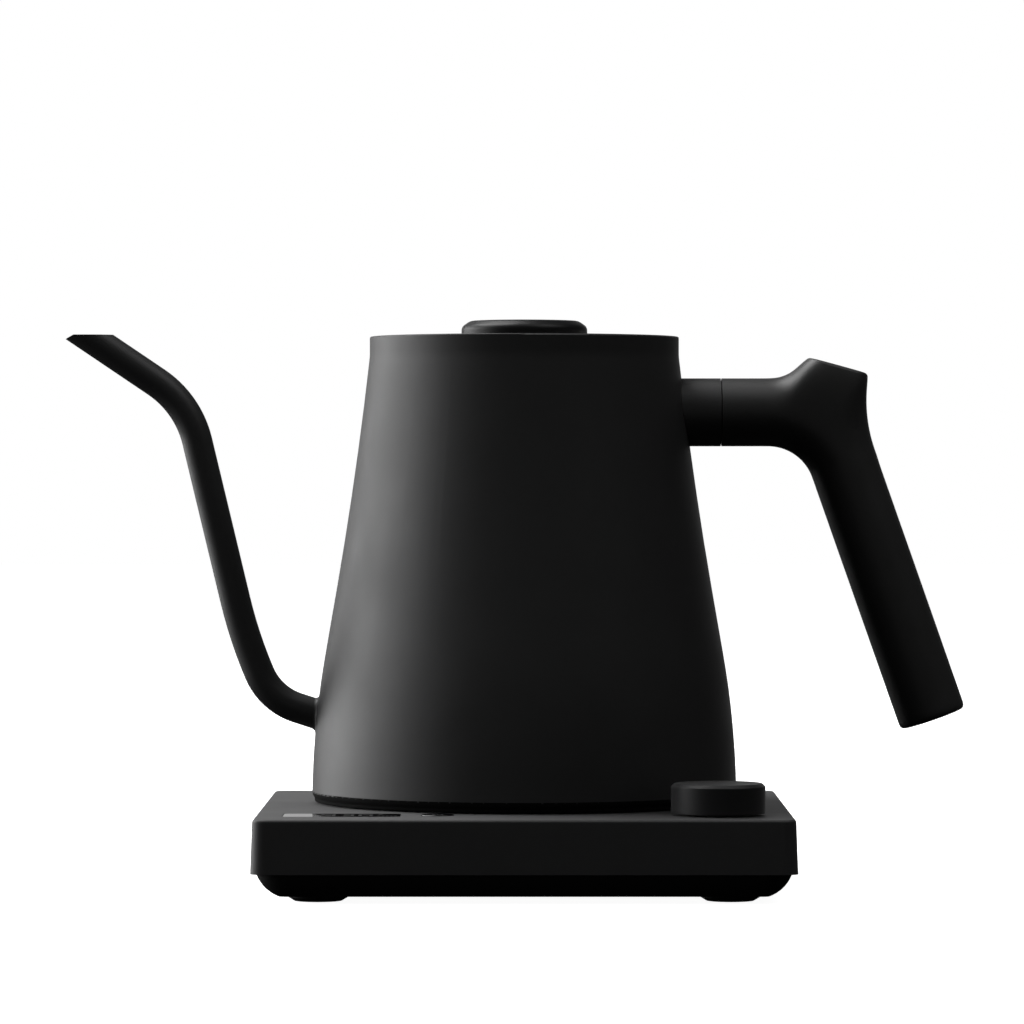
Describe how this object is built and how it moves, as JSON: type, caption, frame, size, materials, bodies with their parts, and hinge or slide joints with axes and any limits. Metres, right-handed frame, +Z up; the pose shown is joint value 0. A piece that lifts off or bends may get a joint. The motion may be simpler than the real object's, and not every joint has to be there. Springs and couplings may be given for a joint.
{
  "type": "gooseneck kettle",
  "caption": "Electric gooseneck kettle with a tapered matte body, thin curved spout, angled handle and flat-knobbed lid, on a square powered base with display, button and dial.",
  "frame": {"origin": "on the table under the middle of the whole part's outline box, so Z = 0 is the underside of the feet", "axes": "+Z up, +X from the spout towards the handle, -Y towards the user's side of the base, where the display, button and dial are"},
  "size_m": [0.2905, 0.1622, 0.1818],
  "materials": {
    "shell_black": "matte powder coat",
    "base_black": "matte powder coat",
    "grip_black": "matte",
    "dial_black": "satin anodised",
    "housing_plastic": "matte",
    "window_black": "gloss",
    "rubber_black": "matte",
    "seal_grey": "matte silicone",
    "steel": "brushed",
    "aluminium": "as cast",
    "contact_brass": "satin",
    "board_green": "satin",
    "component_black": "matte"
  },
  "bodies": {
    "base": {"base_top_cover": "base_black", "base_bottom_cover": "housing_plastic", "foot_front_left": "rubber_black", "foot_front_right": "rubber_black", "foot_rear_left": "rubber_black", "foot_rear_right": "rubber_black", "base_screws": "steel", "base_connector": "housing_plastic", "base_contact_rings": "contact_brass", "display_window": "window_black", "display_module": "component_black", "control_board": "board_green", "buzzer": "component_black", "tact_switch": "component_black", "dial_board": "board_green", "encoder_body": "component_black", "power_board": "board_green", "relay": "component_black", "transformer": "component_black", "terminal_block": "component_black", "cord_gland": "rubber_black"},
    "hub": {"contact_hub": "housing_plastic"},
    "kettle": {"kettle_body": "shell_black", "spout": "shell_black", "neck_ring": "shell_black", "handle": "grip_black", "handle_socket": "shell_black", "handle_screw": "steel", "grip_end_cap": "grip_black", "chamber_floor": "steel", "heat_diffuser": "aluminium", "heating_element": "steel", "temperature_sensor": "steel", "thermal_cutout": "component_black", "bottom_cover": "housing_plastic", "kettle_connector": "housing_plastic", "kettle_contact_pin": "contact_brass", "kettle_contact_blades": "contact_brass"},
    "lid": {"lid_plate": "shell_black", "lid_cup": "steel", "lid_seal": "seal_grey", "lid_knob": "grip_black", "lid_knob_screw": "steel"},
    "dial_plunger": {"encoder_plunger": "steel"},
    "dial": {"dial_shaft": "steel", "dial_knob": "dial_black"},
    "button": {"button_cap": "dial_black"}
  },
  "joints": [
    {"name": "kettle_swivel", "type": "hinge", "parent": "base", "child": "hub", "pos_m": [0.00315, 0.01225, 0.03], "axis": [0, 0, 1], "continuous": true},
    {"name": "kettle_lift", "type": "slide", "parent": "hub", "child": "kettle", "axis": [0, 0, 1], "range_m": [0, 0.08]},
    {"name": "lid_lift", "type": "slide", "parent": "kettle", "child": "lid", "axis": [0, 0, 1], "range_m": [0, 0.05]},
    {"name": "dial_press", "type": "slide", "parent": "base", "child": "dial_plunger", "axis": [0, 0, -1], "range_m": [0, 0.0004], "stiffness_N_per_m": 2000, "springref_m": -0.001},
    {"name": "dial_turn", "type": "hinge", "parent": "dial_plunger", "child": "dial", "pos_m": [0.06345, -0.05775, 0.03], "axis": [0, 0, 1], "continuous": true},
    {"name": "button_press", "type": "slide", "parent": "base", "child": "button", "axis": [0, 0, -1], "range_m": [0, 0.0004], "stiffness_N_per_m": 1500, "springref_m": -0.001}
  ]
}
